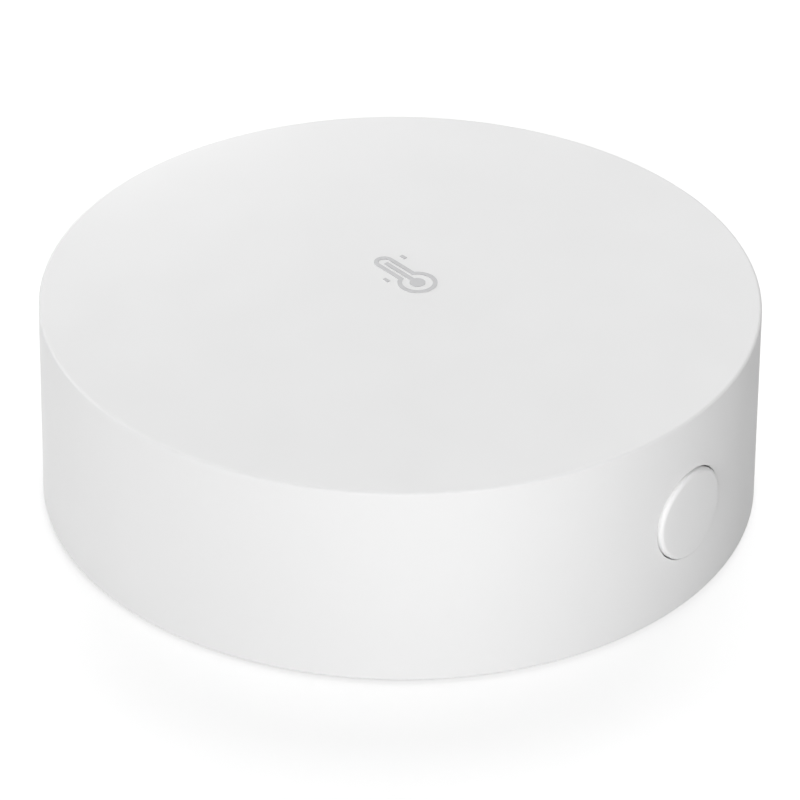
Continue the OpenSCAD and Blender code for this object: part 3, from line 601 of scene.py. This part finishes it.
def cellShape(look):
    r, soft, end, tip = look["canRadius"], look["rounding"], look["canLength"], look["length"]
    nub, root, nose = look["nubRadius"], look["nubRoot"], look["nubRounding"]
    groove = end - look["crimpDepth"]
    section = list(look["foot"])
    section += arcPoints((r - soft, soft), soft, -90, 0, 6)
    section += arcPoints((r - soft, end - soft), soft, 0, 90, 6)
    section += [(look["crimp"][0], end), (look["crimp"][1], groove), (nub + nose, groove)]
    section += arcPoints((nub + root, groove + root), root, -90, -180, 3)
    section += arcPoints((nub - nose, tip - nose), nose, 0, 90, 4)
    return spinSection(section, look["steps"])


def sleeveShape(look):
    soft, turn, end = look["rounding"], look["lipTurn"], look["canLength"]
    middle = look["canRadius"] - soft
    skin = look["sleeveRadius"] - middle
    lining = skin - look["sleeveWall"]
    section = arcPoints((middle, soft), skin, -turn, 0, 6)
    section += [(look["sleeveRadius"], look["bandFrom"]), (look["sleeveRadius"], look["bandTo"])]
    section += arcPoints((middle, end - soft), skin, 0, turn, 6)
    section += arcPoints((middle, end - soft), lining, turn, 0, 6)
    section += arcPoints((middle, soft), lining, 0, -turn, 6)
    bm = spinSection(section, look["steps"], ring=True)
    for face in bm.faces:
        face.material_index = 1 if look["bandFrom"] < face.calc_center_median().z < look["bandTo"] else 0
    return bm


canFinish = metalFinish("nickelCan", {
    "colour": (0.70, 0.70, 0.69), "roughness": 0.3, "stretch": (0.25, 1, 1), "streakSize": 0.5,
    "streakDepth": 0.002, "toneSize": 4})
wrapFinish = plasticFinish("cellWrap", {
    "colour": (0.06, 0.07, 0.08), "toneSize": 7, "toneDepth": 0.12, "roughness": 0.24, "roughnessDepth": 0.05,
    "grainSize": 0.7, "grainDepth": 0.004, "coat": 0.5})
bandFinish = plasticFinish("cellBand", {
    "colour": (0.62, 0.63, 0.64), "toneSize": 5, "toneDepth": 0.04, "roughness": 0.26, "roughnessDepth": 0.05,
    "grainSize": 0.7, "grainDepth": 0.004, "coat": 0.5})
cellPlace = Matrix.Translation((cell["tip"] - cell["length"], -cell["side"], cell["height"])) @ turnToX
ends = (("front", Matrix.Identity(4)), ("rear", halfTurn))
for end, turn in ends:
    makePiece(end + "Cell", moved(cellShape(cell), turn @ cellPlace), "sensor_body", [canFinish],
              ["cell_" + end])
    makePiece(end + "Sleeve", moved(sleeveShape(cell), turn @ cellPlace), "sensor_body",
              [wrapFinish, bandFinish], ["cell_" + end + "_sleeve"])

# Contact springs: round wire, widest on the contact plate and narrow at the cell
spring = {
    "wire": 0.5, "wireSteps": 4, "wideRadius": 3.55, "narrowRadius": 1.65, "turns": 3, "points": 40,
    "length": 4.2, "plate": 24.38, "side": 5.8, "height": 7.55,
}


def springPath(look):
    wire, wide, narrow = look["wire"], look["wideRadius"], look["narrowRadius"]
    steps = look["turns"] * look["points"]
    path = [(wide, 0, 0)]
    for i in range(steps + 1):
        share = i / steps
        r = wide + (narrow - wide) * share
        a = math.tau * i / look["points"]
        path.append((r * math.cos(a), r * math.sin(a), wire + (look["length"] - 2 * wire) * share))
    path.append((narrow, 0, look["length"]))
    return path


def wireShape(look, matrix):
    path = springPath(look)
    curve = bpy.data.curves.new("wire", "CURVE")
    curve.dimensions = "3D"
    curve.bevel_depth = look["wire"] / 2
    curve.bevel_resolution = look["wireSteps"]
    curve.use_fill_caps = True
    line = curve.splines.new("POLY")
    line.points.add(len(path) - 1)
    for point, at in zip(line.points, path):
        point.co = (*at, 1)
    thing = bpy.data.objects.new("wire", curve)
    scene.collection.objects.link(thing)
    mesh = bpy.data.meshes.new_from_object(thing.evaluated_get(bpy.context.evaluated_depsgraph_get()))
    bpy.data.curves.remove(curve)
    mesh.transform(matrix)
    bm = bmesh.new()
    bm.from_mesh(mesh)
    bpy.data.meshes.remove(mesh)
    return tidyShape(bm)


springFinish = metalFinish("springWire", {
    "colour": (0.66, 0.66, 0.66), "roughness": 0.3, "stretch": (1, 1, 1), "streakSize": 0.4,
    "streakDepth": 0.002, "toneSize": 1.5})
springPlace = Matrix.Translation((-spring["plate"], -spring["side"], spring["height"])) @ turnToX
for end, turn in ends:
    makePiece(end + "Spring", wireShape(spring, turn @ springPlace), "sensor_body",
              [springFinish], ["spring_" + end], evenNormals=False)

contactFinish = metalFinish("contactBrass", {
    "colour": (0.80, 0.68, 0.42), "roughness": 0.32, "stretch": (1, 0.12, 1), "streakSize": 0.25,
    "streakDepth": 0.0015, "toneSize": 3})
for kind in ("positive", "negative", "bridge"):
    makePiece(kind + "Contact", partCopy("contact_" + kind, 0.06), "sensor_body",
              [contactFinish], ["contact_" + kind])
print("base, tray, cells and contacts done")

# Circuit boards: solder mask over copper lines, bare glass-epoxy on the cut edges, gold round the holes
board = {
    "mask": (0.03, 0.18, 0.09), "copper": (0.055, 0.27, 0.12),
    "edge": (0.42, 0.44, 0.22), "gold": (0.80, 0.62, 0.30), "holeEdge": 1.3,
    "lineSize": 0.9, "lineDepth": 0.018, "lineShift": 0.4, "lineEdge": (0.62, 0.72),
    "areaSize": 5.5, "areaRandomness": 0.9, "turnedAreas": (0.49, 0.51), "copperAreas": (0.3, 0.32),
    "toneSize": 6, "dark": 0.9, "light": 1.1, "sheenSize": 1.2, "roughness": (0.28, 0.38),
    "coat": 0.3, "coatRoughness": 0.12,
}
mask, maskSurface = startMaterial("solderMask")
maskPlace = place(mask)
maskTurned = addNode(mask, "Mapping", {"Vector": maskPlace, "Rotation": (0, 0, math.radians(90))}).outputs[0]
lines = []
for vector, shift in ((maskPlace, 0.0), (maskTurned, board["lineShift"])):
    wave = addNode(mask, "TexWave", {
        "Vector": vector, "Scale": 1 / (board["lineSize"] * mm * math.pi), "Phase Offset": shift},
        wave_type="BANDS", bands_direction="X", wave_profile="SIN")
    lines.append(fromTo(mask, wave.outputs["Fac"], 0, 1, *board["lineEdge"]))
areas = addNode(mask, "TexVoronoi", {
    "Vector": maskPlace, "Scale": 1 / (board["areaSize"] * mm), "Randomness": board["areaRandomness"]},
    distance="CHEBYCHEV")
areaPick = addNode(mask, "SeparateColor", {"Color": areas.outputs["Color"]})
turned = fromTo(mask, areaPick.outputs[0], 0, 1, *board["turnedAreas"])
filled = fromTo(mask, areaPick.outputs[1], 0, 1, *board["copperAreas"])
lineMask = addNode(mask, "Mix", {0: turned, 2: lines[0], 3: lines[1]}, data_type="FLOAT")
copper = addNode(mask, "Math", {0: lineMask.outputs[0], 1: filled}, operation="MULTIPLY").outputs[0]
maskTone = blend(mask, fromTo(mask, noise(mask, maskPlace, board["toneSize"], 3), 0, 1),
                 shade(board["mask"], board["dark"]), shade(board["mask"], board["light"]))
feed(mask, maskSurface, {
    "Base Color": blend(mask, copper, maskTone, board["copper"]),
    "Roughness": fromTo(mask, noise(mask, maskPlace, board["sheenSize"], 2), *board["roughness"]),
    "Normal": bump(mask, copper, board["lineDepth"]),
    "Coat Weight": board["coat"],
    "Coat Roughness": board["coatRoughness"]})
laminate = plasticFinish("glassEpoxyEdge", {
    "colour": board["edge"], "toneSize": 0.5, "toneDepth": 0.12, "roughness": 0.6, "roughnessDepth": 0.08,
    "grainSize": 0.08, "grainDepth": 0.006})
goldFinish = metalFinish("goldPlate", {
    "colour": board["gold"], "roughness": 0.3, "stretch": (1, 1, 1), "streakSize": 0.3, "streakDepth": 0.001,
    "toneSize": 1})


# Cut faces get the bare laminate, and those within holeEdge of a screw's middle get the gold
def boardShape(node, holeEdge):
    bm = partCopy(node, 0)
    spots = [Vector(spot) for spot in cover["postPlaces"]]
    for face in bm.faces:
        if abs(face.normal.z) < 0.5:
            centre = face.calc_center_median().xy
            face.material_index = 2 if min((centre - spot).length for spot in spots) < holeEdge else 1
    return bm


makePiece("mainBoard", boardShape("circuit_board", board["holeEdge"]), "sensor_body",
          [mask, laminate, goldFinish], ["circuit_board"], evenNormals=False)
makePiece("radioBoard", boardShape("radio_board", 0), "sensor_body", [mask, laminate],
          ["radio_board"], evenNormals=False)

# Small parts: dark resin bodies, tinned ends, bright cans
resinFinish = plasticFinish("chipResin", {
    "colour": (0.03, 0.03, 0.03), "toneSize": 1.5, "toneDepth": 0.15, "roughness": 0.55, "roughnessDepth": 0.08,
    "grainSize": 0.08, "grainDepth": 0.006})
tinFinish = metalFinish("tinnedSheet", {
    "colour": (0.68, 0.68, 0.67), "roughness": 0.34, "stretch": (1, 0.3, 1), "streakSize": 0.3,
    "streakDepth": 0.0015, "toneSize": 1.5})
ceramicFinish = plasticFinish("capacitorCeramic", {
    "colour": (0.45, 0.33, 0.20), "toneSize": 0.4, "toneDepth": 0.06, "roughness": 0.42, "roughnessDepth": 0.06,
    "grainSize": 0.07, "grainDepth": 0.003})
tantalumFinish = plasticFinish("capacitorResin", {
    "colour": (0.72, 0.42, 0.07), "toneSize": 0.8, "toneDepth": 0.05, "roughness": 0.45, "roughnessDepth": 0.06,
    "grainSize": 0.09, "grainDepth": 0.004})
ledFinish = plasticFinish("ledBody", {
    "colour": (0.85, 0.83, 0.70), "toneSize": 0.5, "toneDepth": 0.03, "roughness": 0.2, "roughnessDepth": 0.05,
    "grainSize": 0.1, "grainDepth": 0.001, "coat": 0.4})
screwFinish = metalFinish("screwSteel", {
    "colour": (0.60, 0.60, 0.60), "roughness": 0.3, "stretch": (1, 1, 1), "streakSize": 0.35,
    "streakDepth": 0.002, "toneSize": 1.2})
resistorGlass = plasticFinish("resistorGlass", {
    "colour": (0.03, 0.03, 0.035), "toneSize": 0.4, "toneDepth": 0.1, "roughness": 0.3, "roughnessDepth": 0.05,
    "grainSize": 0.07, "grainDepth": 0.002})
chip = {"endLength": 0.3, "rounding": 0.06}


# The corners of each loose box of a CAD part
def looseBoxes(node):
    bm = partCopy(node, 0)
    seen, boxes = set(), []
    for vert in bm.verts:
        if vert in seen:
            continue
        group, queue = [], [vert]
        seen.add(vert)
        while queue:
            v = queue.pop()
            group.append(v.co.copy())
            for e in v.link_edges:
                other = e.other_vert(v)
                if other not in seen:
                    seen.add(other)
                    queue.append(other)
        boxes.append([Vector([f(c[i] for c in group) for i in range(3)]) for f in (min, max)])
    bm.free()
    return boxes


# Chips with metal ends, which are at the ends of each box's long side
def chipShapes(node, look):
    result = bmesh.new()
    for low, high in looseBoxes(node):
        long = 0 if high.x - low.x > high.y - low.y else 1
        inner, outer = low.copy(), high.copy()
        inner[long] += look["endLength"]
        outer[long] -= look["endLength"]
        addShape(result, roundedBox(inner, outer, look["rounding"]))
        for start in (low[long], outer[long]):
            capLow, capHigh = low.copy(), high.copy()
            capLow[long], capHigh[long] = start, start + look["endLength"]
            cap = roundedBox(capLow, capHigh, look["rounding"])
            for face in cap.faces:
                face.material_index = 1
            addShape(result, cap)
    return result


for node, name, slot, finish in (("small_capacitors", "chipCapacitors", "capacitor_ceramic", ceramicFinish),
                                 ("small_resistors", "chipResistors", "chip_resin", resistorGlass)):
    makePiece(name, chipShapes(node, chip), "sensor_body", [finish, tinFinish], [node])
for node, name, slot, finish, soft in (
        ("radio_shield", "radioShield", "tinned_sheet", tinFinish, 0.06),
        ("radio_chip", "radioChip", "chip_resin", resinFinish, 0.08),
        ("humidity_sensor", "senseChip", "chip_resin", resinFinish, 0.06),
        ("switch_case", "switchCase", "chip_resin", resinFinish, 0.08),
        ("switch_frame", "switchFrame", "tinned_sheet", tinFinish, 0.04),
        ("switch_plunger", "switchPlunger", "chip_resin", resinFinish, 0.1),
        ("switch_terminals", "switchPins", "tinned_sheet", tinFinish, 0.05),
        ("status_led", "ledBase", "led_body", ledFinish, 0.05),
        ("led_lens", "ledLens", "led_body", ledFinish, 0.08),
        ("regulator", "regulatorChip", "chip_resin", resinFinish, 0.06),
        ("crystal", "crystalCan", "tinned_sheet", tinFinish, 0.06),
        ("bulk_capacitors", "bulkCapacitors", "capacitor_resin", tantalumFinish, 0.12)):
    body = "plunger" if node == "switch_plunger" else "sensor_body"
    makePiece(name, partCopy(node, soft), body, [finish], [node])

# Snap dome of the switch, which in the real switch flattens as the plunger goes in; here it keeps its shape, on
# a mesh of its own
snapDome = makePiece("snapDome", partCopy("switch_dome", 0), "sensor_body", [tinFinish],
                     ["switch_dome"], evenNormals=False)
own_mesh(snapDome)

dressPart("programming_pads", goldFinish)
dressPart("tray_screws", screwFinish)
print("boards and small parts done")
